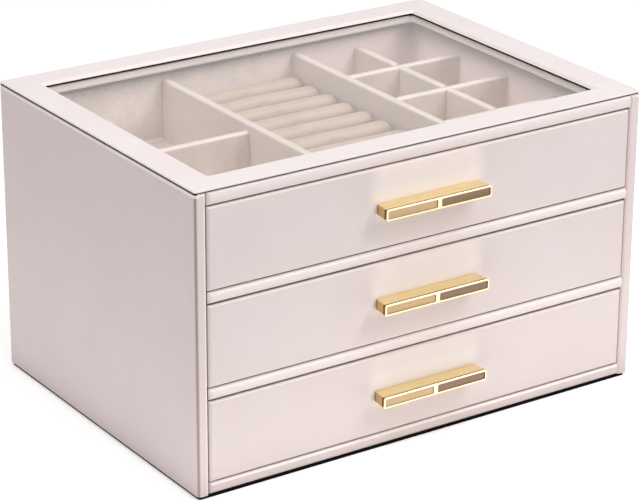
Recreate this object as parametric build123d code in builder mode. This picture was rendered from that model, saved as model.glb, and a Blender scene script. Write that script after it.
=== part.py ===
from build123d import *
import os

os.makedirs("parts", exist_ok=True)

# A jewellery box with three drawers under a fixed glass top, in millimetres.
# The origin is the middle of the underside, with X to the right, Y to the back and Z up.

# Case: leather-covered boards
case_width = 280.0
case_depth = 202.0
side_thickness = 6.6
side_edge_radius = 2.0
back_thickness = 5.5
base_thickness = 6.2
rail_thickness = 6.5
top_thickness = 7.35
rail_edge_radius = 2.6
board_gap = 0.7

# Felt under the base
felt_thickness = 1.85
felt_inset = 1.0
felt_corner_radius = 2.0

# Glass top: cover frame with a collar and a bevel round the window, dark bond under it, tape and glass
side_border = 18.3
end_border = 17.2
cover_thickness = 0.85
bond_thickness = 0.6
bond_inset = 0.5
cover_corner_radius = 1.5
cover_edge_radius = 0.5
window_corner_radius = 1.0
window_bevel = 1.5
window_edge_radius = 0.6
window_lip = 4.25
lip_edge_radius = 2.0
glass_thickness = 2.0
glass_lap = 6.0
glass_clearance = 0.3
tape_thickness = 0.9
tape_setback = 0.2

# Dowels between the boards and the side panels
dowel_diameter = 3.0
dowel_in_side = 3.6
dowel_in_board = 4.0
dowel_clearance = 0.05
dowel_end_distance = 30.0

# Drawer fronts
drawer_names = ("bottom", "middle", "top")
front_height = 44.4
front_thickness = 7.2
front_reveal = 0.7
front_edge_radius = 1.5

# Drawer boxes and their velvet lining
box_wall = 4.2
box_side_clearance = 0.7
box_back_clearance = 1.7
box_lift = 0.3
box_drop = 1.5
box_edge_radius = 0.8
bottom_thickness = 3.0
bottom_recess = 1.2
groove_depth = 1.8
groove_clearance = 0.1
lining_thickness = 1.0

# Dividers
section_count = 3
small_row_count = 4
divider_thickness = 4.4
main_divider_height = 35.4
small_divider_height = 31.4
divider_edge_radius = 2.0
divider_end_radius = 0.9
lap_clearance = 0.1
lap_share = 0.5

# Ring rolls: foam bars with a round back, drawn in at the foot and at both ends
roll_count = 10
roll_height = 24.0
roll_crown = 7.8
roll_clearance = 0.3
roll_foot_tuck = 1.0
roll_end_tuck = 0.9
roll_end_length = 2.6

# Handles: a gold bar on a small foot, narrower behind, with a line behind its rim and two inlays
handle_length = 66.5
handle_height = 6.2
handle_depth = 10.6
handle_taper = 1.0
handle_corner_radius = 1.0
handle_edge_radius = 0.4
line_setback = 0.6
line_width = 0.7
line_depth = 0.4
foot_depth = 0.5
foot_inset = 1.0
rim_width = 0.9
web_width = 2.4
pocket_depth = 1.5
pocket_corner_radius = 0.8
inlay_setback = 0.6
inlay_clearance = 0.05

# Handle screws, driven from inside the drawer
screw_diameter = 3.0
screw_head_diameter = 5.6
screw_head_height = 1.8
screw_spacing = 45.0
screw_grip = 6.5
screw_tip_room = 0.5
screw_hole_clearance = 0.25
screw_thread_clearance = 0.05
screw_head_clearance = 0.4

# How far cuts run past a face
overrun = 1.0

# Places that follow from the sizes
half_width = case_width / 2
half_depth = case_depth / 2
inner_x = half_width - side_thickness
board_back = half_depth - back_thickness
board_depth = board_back + half_depth
board_middle = (board_back - half_depth) / 2

bay_height = front_height + 2 * front_reveal
bay_pitch = bay_height + rail_thickness
base_top = felt_thickness + base_thickness
top_board_bottom = base_top + len(drawer_names) * bay_pitch - rail_thickness
case_top = top_board_bottom + top_thickness
cover_bottom = case_top + bond_thickness

window_width = case_width - 2 * side_border
window_depth = case_depth - 2 * end_border
rebate_width = window_width + 2 * glass_lap
rebate_depth = window_depth + 2 * glass_lap
glass_bottom = top_board_bottom + window_lip
tape_bottom = glass_bottom + glass_thickness
collar_bottom = tape_bottom + tape_thickness
collar_width = rebate_width - 2 * glass_clearance
collar_depth = rebate_depth - 2 * glass_clearance

dowel_rows = (-half_depth + dowel_end_distance, board_back - dowel_end_distance)
dowel_hole_radius = dowel_diameter / 2 + dowel_clearance

box_half_width = inner_x - box_side_clearance
box_front = -half_depth + front_thickness
box_back = board_back - box_back_clearance
box_depth = box_back - box_front
box_middle = (box_back + box_front) / 2
box_height = bay_height - box_lift - front_reveal - box_drop
inside_width = 2 * (box_half_width - box_wall)
inside_depth = box_depth - 2 * box_wall
bottom_rise = box_lift + bottom_recess
lining_rise = bottom_rise + bottom_thickness
tray_rise = lining_rise + lining_thickness
tray_width = inside_width - 2 * lining_thickness
tray_depth = inside_depth - 2 * lining_thickness

section_width = (tray_width - (section_count - 1) * divider_thickness) / section_count
section_pitch = section_width + divider_thickness
row_pitch = (tray_depth + divider_thickness) / small_row_count
lap_height = small_divider_height * lap_share
lap_width = divider_thickness + 2 * lap_clearance

roll_pitch = tray_depth / roll_count
roll_width = roll_pitch - roll_clearance
roll_length = section_width - 2 * roll_clearance

handle_rise = front_reveal + front_height / 2
pocket_height = handle_height - 2 * rim_width
pocket_length = (handle_length - 2 * rim_width - web_width) / 2
pocket_x = (pocket_length + web_width) / 2
pocket_floor = half_depth + handle_depth - pocket_depth

screw_x = screw_spacing / 2
screw_seat = -box_front - box_wall + screw_head_height + screw_head_clearance
screw_length = half_depth + screw_grip - screw_seat


def write(piece, name):
    """Labels a finished piece and writes it to a file of its own name."""
    piece.part.label = name
    export_step(piece.part, f"parts/{name}.step")


# Case

case_boards = {
    "base_board": (felt_thickness, base_thickness, side_edge_radius),
    "lower_shelf": (base_top + bay_height, rail_thickness, rail_edge_radius),
    "upper_shelf": (base_top + bay_pitch + bay_height, rail_thickness, rail_edge_radius),
    "top_board": (top_board_bottom, top_thickness, side_edge_radius),
}
dowel_spots = [
    (row, bottom + thickness / 2)
    for bottom, thickness, _ in case_boards.values()
    for row in dowel_rows
]

for name, side in (("left_side_panel", -1), ("right_side_panel", 1)):
    outward = Axis((0, 0, 0), (side, 0, 0))
    with BuildPart() as side_panel:
        with BuildSketch(Plane.XY.offset(felt_thickness)):
            with Locations((side * (half_width - side_thickness / 2), 0)):
                Rectangle(side_thickness, case_depth)
        extrude(amount=case_top - felt_thickness)
        outer_edges = side_panel.faces().sort_by(outward)[-1].edges().sort_by(Axis.Z)[1:]
        front_edges = side_panel.faces().sort_by(Axis.Y)[0].edges().sort_by(Axis.Z)[1:].sort_by(outward)[:2]
        fillet([*outer_edges, *front_edges], side_edge_radius)
        with BuildSketch(Plane.YZ.offset(side * inner_x)):
            with Locations(*dowel_spots):
                Circle(dowel_hole_radius)
        extrude(amount=side * dowel_in_side, mode=Mode.SUBTRACT)
    write(side_panel, name)

with BuildPart() as back_panel:
    with BuildSketch(Plane.XY.offset(felt_thickness)):
        with Locations((0, board_back + back_thickness / 2)):
            Rectangle(2 * inner_x, back_thickness)
    extrude(amount=case_top - felt_thickness)
    fillet(back_panel.faces().sort_by(Axis.Y)[-1].edges(), rail_edge_radius)
write(back_panel, "back_panel")


def case_board(bottom, thickness, edge_radius):
    """A board tight against the right panel, with a seam at the left, rounded along its front."""
    with BuildPart() as board:
        with BuildSketch(Plane.XY.offset(bottom)):
            with Locations((board_gap / 2, board_middle)):
                Rectangle(2 * inner_x - board_gap, board_depth)
        extrude(amount=thickness)
        fillet(board.faces().sort_by(Axis.Y)[0].edges().sort_by(Axis.X)[:-1], edge_radius)
        for side in (-1, 1):
            with BuildSketch(Plane.YZ.offset(side * inner_x)):
                with Locations(*[(row, bottom + thickness / 2) for row in dowel_rows]):
                    Circle(dowel_hole_radius)
            extrude(amount=-side * dowel_in_board, mode=Mode.SUBTRACT)
    return board


for name in ("base_board", "lower_shelf", "upper_shelf"):
    write(case_board(*case_boards[name]), name)

with BuildPart() as top_board:
    add(case_board(*case_boards["top_board"]).part)
    with BuildSketch(Plane.XY.offset(top_board_bottom - overrun)):
        RectangleRounded(window_width, window_depth, window_corner_radius)
    extrude(amount=top_thickness + 2 * overrun, mode=Mode.SUBTRACT)
    with BuildSketch(Plane.XY.offset(glass_bottom)):
        RectangleRounded(rebate_width, rebate_depth, window_corner_radius)
    extrude(amount=case_top - glass_bottom + overrun, mode=Mode.SUBTRACT)
    lip_edges = top_board.faces().sort_by(Axis.Z)[0].inner_wires()[0].edges()
    fillet(lip_edges, lip_edge_radius)
write(top_board, "top_board")

with BuildPart() as panel_dowels:
    for side in (-1, 1):
        with BuildSketch(Plane.YZ.offset(side * (inner_x + dowel_in_side))):
            with Locations(*dowel_spots):
                Circle(dowel_diameter / 2)
        extrude(amount=-side * (dowel_in_side + dowel_in_board))
write(panel_dowels, "panel_dowels")

with BuildPart() as base_felt:
    with BuildSketch():
        RectangleRounded(case_width - 2 * felt_inset, case_depth - 2 * felt_inset, felt_corner_radius)
    extrude(amount=felt_thickness)
write(base_felt, "base_felt")

# Glass top

with BuildPart() as window_glass:
    with BuildSketch(Plane.XY.offset(glass_bottom)):
        RectangleRounded(collar_width, collar_depth, window_corner_radius)
    extrude(amount=glass_thickness)
write(window_glass, "window_glass")

with BuildPart() as glass_tape:
    with BuildSketch(Plane.XY.offset(tape_bottom)):
        RectangleRounded(collar_width, collar_depth, window_corner_radius)
        RectangleRounded(
            window_width + 2 * tape_setback,
            window_depth + 2 * tape_setback,
            window_corner_radius,
            mode=Mode.SUBTRACT,
        )
    extrude(amount=tape_thickness)
write(glass_tape, "glass_tape")

with BuildPart() as cover_bond:
    with BuildSketch(Plane.XY.offset(case_top)):
        RectangleRounded(case_width - 2 * bond_inset, case_depth - 2 * bond_inset, cover_corner_radius)
        RectangleRounded(rebate_width, rebate_depth, window_corner_radius, mode=Mode.SUBTRACT)
    extrude(amount=bond_thickness)
write(cover_bond, "cover_bond")

with BuildPart() as cover_frame:
    with BuildSketch(Plane.XY.offset(cover_bottom)):
        RectangleRounded(case_width, case_depth, cover_corner_radius)
    extrude(amount=cover_thickness)
    with BuildSketch(Plane.XY.offset(collar_bottom)):
        RectangleRounded(collar_width, collar_depth, window_corner_radius)
    extrude(amount=cover_bottom - collar_bottom)
    with BuildSketch(Plane.XY.offset(collar_bottom - overrun)):
        RectangleRounded(window_width, window_depth, window_corner_radius)
    extrude(amount=cover_bottom + cover_thickness - collar_bottom + 2 * overrun, mode=Mode.SUBTRACT)
    rim_edges = cover_frame.faces().sort_by(Axis.Z)[-1].outer_wire().edges()
    fillet(rim_edges, cover_edge_radius)
    window_edges = cover_frame.faces().sort_by(Axis.Z)[-1].inner_wires()[0].edges()
    chamfer(window_edges, window_bevel)
    bevel_edges = cover_frame.faces().sort_by(Axis.Z)[-1].inner_wires()[0].edges()
    fillet(bevel_edges, window_edge_radius)
write(cover_frame, "cover_frame")


# Drawers: every piece is made at the height of its bay's floor

def handle_spots(bay_floor):
    """The places of a handle's two screws, on a plane facing the front."""
    return [(-screw_x, bay_floor + handle_rise), (screw_x, bay_floor + handle_rise)]


def drawer_front(bay_floor):
    """The panel that shows, rounded round its face, with holes for the handle's screws."""
    with BuildPart() as front:
        with BuildSketch(Plane.XZ.offset(-box_front)):
            with Locations((0, bay_floor + bay_height / 2)):
                Rectangle(2 * (inner_x - front_reveal), front_height)
        extrude(amount=front_thickness)
        fillet(front.faces().sort_by(Axis.Y)[0].edges(), front_edge_radius)
        with BuildSketch(Plane.XZ.offset(-box_front - overrun)):
            with Locations(*handle_spots(bay_floor)):
                Circle(screw_diameter / 2 + screw_hole_clearance)
        extrude(amount=front_thickness + 2 * overrun, mode=Mode.SUBTRACT)
    return front


def box_wall_piece(bay_floor, centre, width, depth):
    """One wall of a drawer's box, with rounded top edges and the bottom's groove."""
    with BuildPart() as wall:
        with BuildSketch(Plane.XY.offset(bay_floor + box_lift)):
            with Locations(centre):
                Rectangle(width, depth)
        extrude(amount=box_height)
        along = Axis.X if width > depth else Axis.Y
        fillet(wall.faces().sort_by(Axis.Z)[-1].edges().filter_by(along), box_edge_radius)
        with BuildSketch(Plane.XY.offset(bay_floor + bottom_rise - groove_clearance)):
            with Locations((0, box_middle)):
                Rectangle(
                    inside_width + 2 * (groove_depth + groove_clearance),
                    inside_depth + 2 * (groove_depth + groove_clearance),
                )
        extrude(amount=bottom_thickness + 2 * groove_clearance, mode=Mode.SUBTRACT)
    return wall


def box_side(bay_floor, side):
    """A drawer's left or right wall, over the whole depth of its box."""
    centre = (side * (box_half_width - box_wall / 2), box_middle)
    return box_wall_piece(bay_floor, centre, box_wall, box_depth)


def box_back_wall(bay_floor):
    """A drawer's back wall, between its sides."""
    return box_wall_piece(bay_floor, (0, box_back - box_wall / 2), inside_width, box_wall)


def box_inner_front(bay_floor):
    """The wall behind the front panel, with sunk holes for the screws' heads."""
    with BuildPart() as inner_front:
        add(box_wall_piece(bay_floor, (0, box_front + box_wall / 2), inside_width, box_wall).part)
        with BuildSketch(Plane.XZ.offset(screw_seat)):
            with Locations(*handle_spots(bay_floor)):
                Circle(screw_diameter / 2 + screw_hole_clearance)
        extrude(amount=box_wall + overrun, mode=Mode.SUBTRACT)
        with BuildSketch(Plane.XZ.offset(screw_seat)):
            with Locations(*handle_spots(bay_floor)):
                Circle(screw_head_diameter / 2 + screw_head_clearance)
        extrude(amount=-box_wall, mode=Mode.SUBTRACT)
    return inner_front


def box_bottom(bay_floor):
    """A drawer's bottom board, held in the walls' grooves."""
    with BuildPart() as bottom:
        with BuildSketch(Plane.XY.offset(bay_floor + bottom_rise)):
            with Locations((0, box_middle)):
                Rectangle(inside_width + 2 * groove_depth, inside_depth + 2 * groove_depth)
        extrude(amount=bottom_thickness)
    return bottom


def velvet_lining(bay_floor):
    """The velvet skin on the floor and walls of a drawer, open at the top."""
    with BuildPart() as lining:
        with BuildSketch(Plane.XY.offset(bay_floor + lining_rise)):
            with Locations((0, box_middle)):
                Rectangle(inside_width, inside_depth)
        extrude(amount=box_lift + box_height - box_edge_radius - lining_rise)
        with BuildSketch(Plane.XY.offset(bay_floor + tray_rise)):
            with Locations((0, box_middle)):
                Rectangle(tray_width, tray_depth)
        extrude(amount=box_height, mode=Mode.SUBTRACT)
    return lining


def handle_bar(bay_floor):
    """The gold bar on its foot, with two pockets in its face and two screw holes behind."""
    level = bay_floor + handle_rise
    face, rear = -half_depth - handle_depth, -half_depth - foot_depth
    with BuildPart() as bar:
        with BuildSketch(Plane.XY.offset(level - handle_height / 2)):
            with BuildLine():
                Polyline(
                    (-handle_length / 2, face),
                    (handle_length / 2, face),
                    (handle_length / 2 - handle_taper, rear),
                    (-handle_length / 2 + handle_taper, rear),
                    close=True,
                )
            make_face()
        extrude(amount=handle_height)
        for end in (Axis.X, -Axis.X):
            end_edges = bar.faces().sort_by(end)[-1].edges().sort_by(Axis.Z)
            fillet([end_edges[0], end_edges[-1]], handle_corner_radius)
        fillet(bar.faces().sort_by(Axis.Y)[0].edges(), handle_edge_radius)
        fillet(bar.faces().sort_by(Axis.Y)[-1].edges(), handle_edge_radius)
        with BuildSketch(Plane.XZ.offset(-face - line_setback)):
            with Locations((0, level)):
                Rectangle(handle_length + 2 * overrun, handle_height + 2 * overrun)
                RectangleRounded(
                    handle_length - 2 * line_depth,
                    handle_height - 2 * line_depth,
                    pocket_corner_radius,
                    mode=Mode.SUBTRACT,
                )
        extrude(amount=-line_width, mode=Mode.SUBTRACT)
        with BuildSketch(Plane.XZ.offset(half_depth)):
            with Locations((0, level)):
                Rectangle(
                    handle_length - 2 * (handle_taper + foot_inset), handle_height - 2 * foot_inset
                )
        extrude(amount=foot_depth + handle_edge_radius)
        with BuildSketch(Plane.XZ.offset(pocket_floor)):
            with Locations((-pocket_x, level), (pocket_x, level)):
                RectangleRounded(pocket_length, pocket_height, pocket_corner_radius)
        extrude(amount=pocket_depth + overrun, mode=Mode.SUBTRACT)
        with BuildSketch(Plane.XZ.offset(half_depth - overrun)):
            with Locations(*handle_spots(bay_floor)):
                Circle(screw_diameter / 2 + screw_thread_clearance)
        extrude(amount=overrun + screw_grip + screw_tip_room, mode=Mode.SUBTRACT)
    return bar


def handle_inlay(bay_floor, side):
    """The inlay in one of a handle's pockets, a little behind the rim."""
    with BuildPart() as inlay:
        with BuildSketch(Plane.XZ.offset(pocket_floor)):
            with Locations((side * pocket_x, bay_floor + handle_rise)):
                RectangleRounded(
                    pocket_length - 2 * inlay_clearance,
                    pocket_height - 2 * inlay_clearance,
                    pocket_corner_radius - inlay_clearance,
                )
        extrude(amount=pocket_depth - inlay_setback)
    return inlay


def handle_screws(bay_floor):
    """The pair of screws that hold a handle and the front panel to the drawer's box."""
    with BuildPart() as screws:
        with BuildSketch(Plane.XZ.offset(screw_seat)):
            with Locations(*handle_spots(bay_floor)):
                Circle(screw_diameter / 2)
        extrude(amount=screw_length)
        with BuildSketch(Plane.XZ.offset(screw_seat)):
            with Locations(*handle_spots(bay_floor)):
                Circle(screw_head_diameter / 2)
        extrude(amount=-screw_head_height)
    return screws


bay_floors = {name: base_top + row * bay_pitch for row, name in enumerate(drawer_names)}

for name, bay_floor in bay_floors.items():
    write(drawer_front(bay_floor), f"{name}_drawer_front")
    write(box_side(bay_floor, -1), f"{name}_drawer_left_side")
    write(box_side(bay_floor, 1), f"{name}_drawer_right_side")
    write(box_back_wall(bay_floor), f"{name}_drawer_back")
    write(box_inner_front(bay_floor), f"{name}_drawer_inner_front")
    write(box_bottom(bay_floor), f"{name}_drawer_bottom")
    write(velvet_lining(bay_floor), f"{name}_drawer_lining")
    write(handle_bar(bay_floor), f"{name}_handle_bar")
    write(handle_inlay(bay_floor, -1), f"{name}_handle_light_inlay")
    write(handle_inlay(bay_floor, 1), f"{name}_handle_dark_inlay")
    write(handle_screws(bay_floor), f"{name}_handle_screws")


# Dividers: velvet-covered boards with round tops, standing on a drawer's lining

def divider(bay_floor, centre, width, depth, height):
    """A divider of one thickness along X or Y, rounded along its top and its ends."""
    with BuildPart() as board:
        with BuildSketch(Plane.XY.offset(bay_floor + tray_rise)):
            with Locations(centre):
                Rectangle(width, depth)
        extrude(amount=height)
        along = Axis.X if width > depth else Axis.Y
        fillet(board.faces().sort_by(Axis.Z)[-1].edges().filter_by(along), divider_edge_radius)
        fillet(board.edges().filter_by(Axis.Z), divider_end_radius)
    return board


def main_divider(bay_floor, side):
    """A tall divider from front to back, at one side of a drawer's middle section."""
    centre = (side * section_pitch / 2, box_middle)
    return divider(bay_floor, centre, divider_thickness, tray_depth, main_divider_height)


for name in ("middle", "top"):
    write(main_divider(bay_floors[name], -1), f"{name}_drawer_left_divider")
    write(main_divider(bay_floors[name], 1), f"{name}_drawer_right_divider")

top_floor = bay_floors["top"]
tray_floor = top_floor + tray_rise
first_row = box_middle - (small_row_count - 2) * row_pitch / 2
row_places = [first_row + row * row_pitch for row in range(small_row_count - 1)]

left_centre = (-section_pitch, box_middle)
left_cross = divider(top_floor, left_centre, section_width, divider_thickness, small_divider_height)
write(left_cross, "top_drawer_left_cross_divider")

with BuildPart() as long_divider:
    right_centre = (section_pitch, box_middle)
    add(divider(top_floor, right_centre, divider_thickness, tray_depth, small_divider_height).part)
    with BuildSketch(Plane.XY.offset(tray_floor + lap_height)):
        with Locations(*[(section_pitch, place) for place in row_places]):
            Rectangle(lap_width, lap_width)
    extrude(amount=small_divider_height, mode=Mode.SUBTRACT)
write(long_divider, "top_drawer_long_divider")

for row, place in enumerate(row_places, start=1):
    with BuildPart() as cross_divider:
        cross_centre = (section_pitch, place)
        add(divider(top_floor, cross_centre, section_width, divider_thickness, small_divider_height).part)
        with BuildSketch(Plane.XY.offset(tray_floor)):
            with Locations(cross_centre):
                Rectangle(lap_width, lap_width)
        extrude(amount=lap_height + lap_clearance, mode=Mode.SUBTRACT)
    write(cross_divider, f"top_drawer_cross_divider_{row}")

# Ring rolls in the top drawer's middle section

roll_ends = roll_length / 2
roll_shoulders = roll_ends - roll_end_length
roll_sections = (
    (-roll_ends, roll_end_tuck),
    (-roll_shoulders, 0),
    (roll_shoulders, 0),
    (roll_ends, roll_end_tuck),
)

with BuildPart() as ring_rolls:
    for row in range(roll_count):
        middle = box_middle + (row - (roll_count - 1) / 2) * roll_pitch
        for place, tuck in roll_sections:
            half = roll_width / 2 - tuck
            foot = half - roll_foot_tuck
            shoulder = tray_floor + roll_height - roll_crown
            crown = tray_floor + roll_height - tuck
            with BuildSketch(Plane.YZ.offset(place)):
                with BuildLine():
                    Line((middle - foot, tray_floor), (middle + foot, tray_floor))
                    Line((middle + foot, tray_floor), (middle + half, shoulder))
                    ThreePointArc((middle + half, shoulder), (middle, crown), (middle - half, shoulder))
                    Line((middle - half, shoulder), (middle - foot, tray_floor))
                make_face()
        loft(ruled=True)
write(ring_rolls, "ring_rolls")
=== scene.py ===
"""Looks of a jewellery box: three drawers under a fixed glass top, in leather cloth, velvet and gold."""
import logging
import math
import random
from dataclasses import dataclass
from enum import Enum
from functools import cache, reduce
from typing import Any

import bmesh
import bpy
from bpy.types import ID, Material, Mesh, Node, NodeSocket as Socket, NodeTree, Object
from mathutils import Matrix, Vector


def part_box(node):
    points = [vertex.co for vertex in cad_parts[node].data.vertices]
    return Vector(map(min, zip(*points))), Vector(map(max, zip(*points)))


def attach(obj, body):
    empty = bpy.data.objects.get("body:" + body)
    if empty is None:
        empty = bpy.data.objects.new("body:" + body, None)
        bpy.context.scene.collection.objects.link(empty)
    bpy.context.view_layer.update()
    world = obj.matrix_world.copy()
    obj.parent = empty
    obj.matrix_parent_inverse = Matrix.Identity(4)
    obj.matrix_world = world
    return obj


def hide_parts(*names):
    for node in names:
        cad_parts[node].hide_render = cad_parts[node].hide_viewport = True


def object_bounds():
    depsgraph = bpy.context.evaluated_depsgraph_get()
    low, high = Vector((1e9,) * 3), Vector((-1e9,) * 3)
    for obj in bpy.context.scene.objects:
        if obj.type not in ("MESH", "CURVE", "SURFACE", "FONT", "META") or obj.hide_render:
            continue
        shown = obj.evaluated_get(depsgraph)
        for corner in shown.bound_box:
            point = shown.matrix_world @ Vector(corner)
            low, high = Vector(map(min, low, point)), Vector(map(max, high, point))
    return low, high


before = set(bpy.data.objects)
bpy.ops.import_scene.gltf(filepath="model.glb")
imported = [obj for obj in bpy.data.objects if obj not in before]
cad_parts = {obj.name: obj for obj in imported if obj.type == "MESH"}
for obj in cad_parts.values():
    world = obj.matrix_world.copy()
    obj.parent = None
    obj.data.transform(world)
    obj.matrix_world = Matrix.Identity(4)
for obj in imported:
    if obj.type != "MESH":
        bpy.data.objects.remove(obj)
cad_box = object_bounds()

LOG = logging.getLogger("jewellery_box")
Triple = tuple[float, float, float]
Colour = Triple
Span = tuple[float, float]
# The span that holds most values of a noise
NOISE_SPAN: Span = (0.3, 0.7)


def mm(length: float) -> float:
    """Millimetres as metres."""
    return length / 1000


def linear(colour: Colour) -> tuple[float, float, float, float]:
    """A screen colour of 0 to 255 a channel, as the light values that shaders take.

    Args:
        colour: red, green and blue as they show on a screen.

    Returns:
        The same colour in linear light, with full alpha.
    """
    shares = [channel / 255 for channel in colour]
    values = [s / 12.92 if s <= 0.04045 else ((s + 0.055) / 1.055) ** 2.4 for s in shares]
    return (*values, 1.0)


class Body(Enum):
    """The bodies of the frame that made pieces ride on."""

    BOTTOM_DRAWER = "bottom_drawer"
    MIDDLE_DRAWER = "middle_drawer"
    TOP_DRAWER = "top_drawer"


class Effect(Enum):
    """Surface effects that several finishes share, each one a node group."""

    LEATHER_GRAIN = "leather_grain"
    VELVET_NAP = "velvet_nap"
    BRUSHED_LINES = "brushed_lines"
    # painted highlight on edges that turn up or right, painted shade on edges that turn down
    EDGE_WEAR = "painted_edge_light"
    MOTTLE = "mottle"


# Node graphs


class Graph:
    """A node tree that is written one node at a time."""

    def __init__(self, tree: NodeTree) -> None:
        """Starts the graph on an empty tree."""
        self.tree = tree
        self.tree.nodes.clear()

    def add(self, kind: str, inputs: dict[Any, Any] | None = None, **settings: Any) -> Node:
        """Adds a node, sets its properties and fills or links its inputs.

        Args:
            kind: Blender's name for the kind of node.
            inputs: what each input gets, as feed takes it.
            settings: the node's own properties.

        Returns:
            The new node.
        """
        node = self.tree.nodes.new(kind)
        for name, value in settings.items():
            setattr(node, name, value)
        self.feed(node, inputs or {})
        return node

    def feed(self, node: Node, inputs: dict[Any, Any]) -> None:
        """Fills or links inputs of a node.

        Args:
            node: the node.
            inputs: what each input, by name or number, gets: a value or a socket to link from.
        """
        for key, value in inputs.items():
            if isinstance(value, Socket):
                self.tree.links.new(value, node.inputs[key])
            else:
                node.inputs[key].default_value = value

    def math(self, operation: str, *values: Any, clamp: bool = False) -> Socket:
        """The result of one sum, by Blender's name for it, which a clamp keeps between 0 and 1."""
        inputs = dict(enumerate(values))
        return self.add("ShaderNodeMath", inputs, operation=operation, use_clamp=clamp).outputs[0]

    def times(self, first: Any, second: Any, clamp: bool = False) -> Socket:
        """Two values multiplied."""
        return self.math("MULTIPLY", first, second, clamp=clamp)

    def ramp(self, value: Any, low: float, high: Any) -> Socket:
        """A value spread smoothly over 0 to 1 between two limits."""
        inputs = {"Value": value, "From Min": low, "From Max": high}
        return self.add("ShaderNodeMapRange", inputs, interpolation_type="SMOOTHSTEP").outputs[0]

    def spread(self, share: Any, low: float, high: float) -> Socket:
        """A share of 0 to 1, as a value between two limits."""
        inputs = {"Value": share, "To Min": low, "To Max": high}
        return self.add("ShaderNodeMapRange", inputs).outputs[0]

    def mix(self, share: Any, first: Any, second: Any) -> Socket:
        """Mixes two colours by a share of the second.

        Args:
            share: the share, from 0 to 1.
            first: a socket or a screen colour.
            second: another.

        Returns:
            The socket of the mixed colour.
        """
        tints = [tint if isinstance(tint, Socket) else linear(tint) for tint in (first, second)]
        inputs = {0: share, 6: tints[0], 7: tints[1]}
        return self.add("ShaderNodeMix", inputs, data_type="RGBA").outputs[2]

    def noise(self, place: Any, scale: Any, detail: float = 2.0, rough: float = 0.5) -> Socket:
        """Soft noise, with a number of patches to the metre, finer layers and how strong those are."""
        inputs = {"Vector": place, "Scale": scale, "Detail": detail, "Roughness": rough}
        return self.add("ShaderNodeTexNoise", inputs).outputs[0]

    def place(self) -> Socket:
        """A point's place on its piece, in metres in the frame."""
        return self.add("ShaderNodeTexCoord").outputs["Object"]

    def stretched(self, scale: Triple) -> Socket:
        """A point's place, with each direction scaled by itself."""
        return self.add("ShaderNodeMapping", {"Vector": self.place(), "Scale": scale}).outputs[0]

    def split(self, vector: Socket) -> Any:
        """The outputs X, Y and Z of a vector."""
        return self.add("ShaderNodeSeparateXYZ", {"Vector": vector}).outputs

    def facing(self) -> Any:
        """The outputs X, Y and Z of the way that a face looks."""
        return self.split(self.add("ShaderNodeNewGeometry").outputs["True Normal"])


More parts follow.
